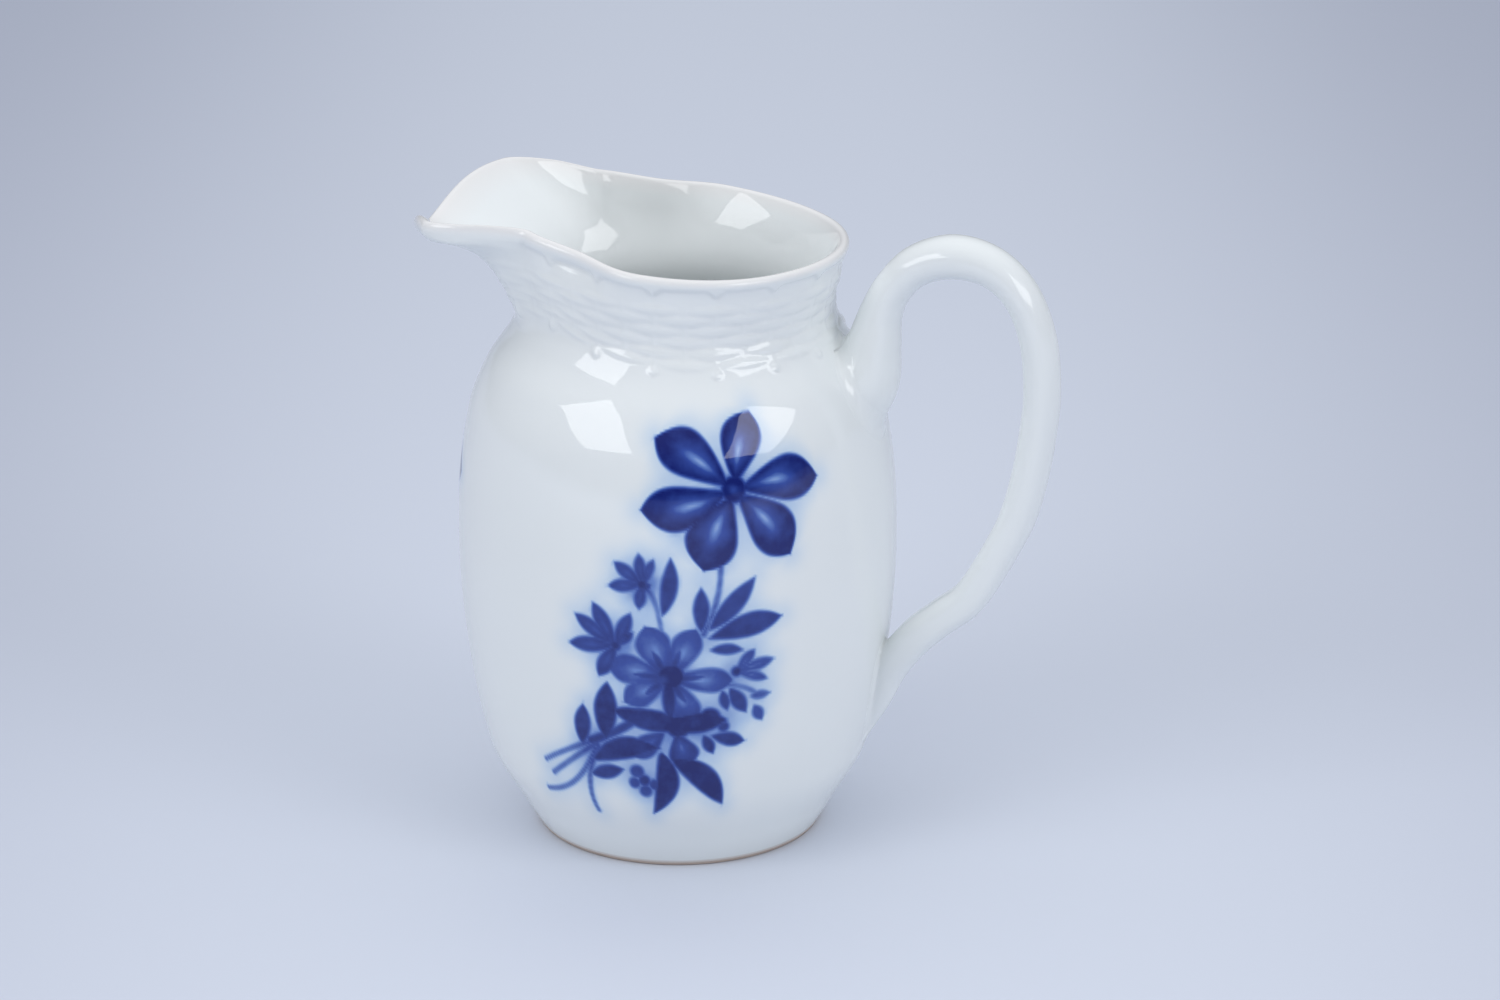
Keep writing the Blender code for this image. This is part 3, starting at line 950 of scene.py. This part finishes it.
def softbox(name, bearing, elevation, lean, roll):
    """A square diffuser overhead. Its bearing is from the front, and lean tips its face at the jug."""
    turn, rise = math.radians(bearing), math.radians(elevation)
    away = Vector((math.sin(turn), -math.cos(turn), 0))
    beside = Vector((math.cos(turn), math.sin(turn), 0))
    centre = Vector((AXIS_X, 0, SOFTBOX_AIM_HEIGHT))
    centre += (away * math.cos(rise) + Vector((0, 0, math.sin(rise)))) * SOFTBOX_DISTANCE
    tip, bank = math.radians(lean), math.radians(roll)
    back = Vector((0, 0, math.cos(tip))) + away * math.sin(tip) + beside * math.sin(bank)
    back.normalize()
    corner = (away - back * away.dot(back)).normalized()
    side = back.cross(corner)
    across = (corner + side).normalized()
    up = back.cross(across)
    data = bpy.data.lights.new(name, "AREA")
    data.shape = "SQUARE"
    data.size = SOFTBOX_SIDE
    data.energy = SOFTBOX_POWER
    obj = bpy.data.objects.new(name, data)
    obj.matrix_world = Matrix(
        (
            (across.x, up.x, back.x, centre.x),
            (across.y, up.y, back.y, centre.y),
            (across.z, up.z, back.z, centre.z),
            (0, 0, 0, 1),
        )
    )
    bpy.context.scene.collection.objects.link(obj)


def stage():
    """A pale floor with painted light: its colour is brightest in a band running away from the camera
    through the jug, and painted dimmer to the sides.
    """
    material = bpy.data.materials.new("backdrop")
    material.use_nodes = True
    tree = material.node_tree
    shader = tree.nodes["Principled BSDF"]
    shader.inputs["Roughness"].default_value = FLOOR_ROUGHNESS
    shader.inputs["Specular IOR Level"].default_value = FLOOR_SHINE
    where = node(tree, "ShaderNodeTexCoord").outputs["Object"]
    turned = node(tree, "ShaderNodeVectorRotate", rotation_type="Z_AXIS")
    turned.inputs["Angle"].default_value = -math.radians(CAMERA_AZIMUTH)
    tree.links.new(where, turned.inputs["Vector"])
    split = node(tree, "ShaderNodeSeparateXYZ")
    tree.links.new(turned.outputs["Vector"], split.inputs["Vector"])
    aside = node(tree, "ShaderNodeMath", operation="ABSOLUTE")
    tree.links.new(split.outputs["X"], aside.inputs[0])
    fall = node(tree, "ShaderNodeMapRange", interpolation_type="SMOOTHERSTEP")
    fall.inputs["From Max"].default_value = FLOOR_PAINTED_LIGHT_WIDTH * 2
    tree.links.new(aside.outputs[0], fall.inputs["Value"])
    # Painted light: the floor's colour goes from the painted bright band to painted dimmer shade sideways
    colour = mixed(tree, fall.outputs["Result"], FLOOR_PAINTED_BRIGHT, FLOOR_PAINTED_DIM)
    tree.links.new(colour, shader.inputs["Base Color"])
    half = FLOOR_HALF_WIDTH
    corners = [(-half, -half, 0), (half, -half, 0), (half, half, 0), (-half, half, 0)]
    mesh_object("floor", corners, [(0, 1, 2, 3)], material)


def studio():
    """The lights, the room's even glow, which is dimmer on the camera's side, and the floor."""
    softbox("left_softbox", bearing=-35, elevation=25, lean=8, roll=14)
    softbox("right_softbox", bearing=66, elevation=21, lean=8, roll=-14)
    world = bpy.data.worlds.new("studio")
    world.use_nodes = True
    tree = world.node_tree
    background = tree.nodes["Background"]
    split = node(tree, "ShaderNodeSeparateXYZ")
    direction = node(tree, "ShaderNodeTexCoord").outputs["Generated"]
    tree.links.new(direction, split.inputs["Vector"])
    climb = node(tree, "ShaderNodeMapRange", interpolation_type="SMOOTHSTEP")
    tree.links.new(split.outputs["Z"], climb.inputs["Value"])
    colour = mixed(tree, climb.outputs["Result"], ROOM_LOW, ROOM_HIGH)
    tree.links.new(colour, background.inputs["Color"])
    towards = node(tree, "ShaderNodeVectorMath", operation="DOT_PRODUCT")
    turn = math.radians(CAMERA_AZIMUTH)
    towards.inputs[1].default_value = (math.sin(turn), -math.cos(turn), 0)
    tree.links.new(direction, towards.inputs[0])
    front = node(tree, "ShaderNodeMapRange", **{"From Min": FRONT_START, "To Min": ROOM_STRENGTH})
    front.inputs["To Max"].default_value = ROOM_STRENGTH * FRONT_SHARE
    tree.links.new(towards.outputs["Value"], front.inputs["Value"])
    tree.links.new(front.outputs["Result"], background.inputs["Strength"])
    bpy.context.scene.world = world
    bpy.context.scene.view_settings.view_transform = "Standard"
    stage()


def add_piece(obj, slot, *nodes):
    """Puts a finished piece in the place of the CAD nodes that it stands for."""
    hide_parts(*nodes)
    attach(obj, "root")


def main():
    camera()
    plain = glaze("clear_glaze", painted=False)
    body = body_mesh("porcelain_body", glaze("painted_glaze", painted=True))
    add_piece(body, "glazed_body", "jug_body")
    rings = handle_points()
    add_piece(handle_mesh("loop_handle", rings, plain), "glazed_handle", "handle")
    upper = fillet_mesh("upper_slip_fillet", rings[: len(rings) // 2], UPPER_FILLET, plain)
    add_piece(upper, "glazed_slip", "upper_luting_joint")
    lower = fillet_mesh("lower_slip_fillet", rings[::-1][: len(rings) // 2], LOWER_FILLET, plain)
    add_piece(lower, "glazed_slip", "lower_luting_joint")
    studio()


main()
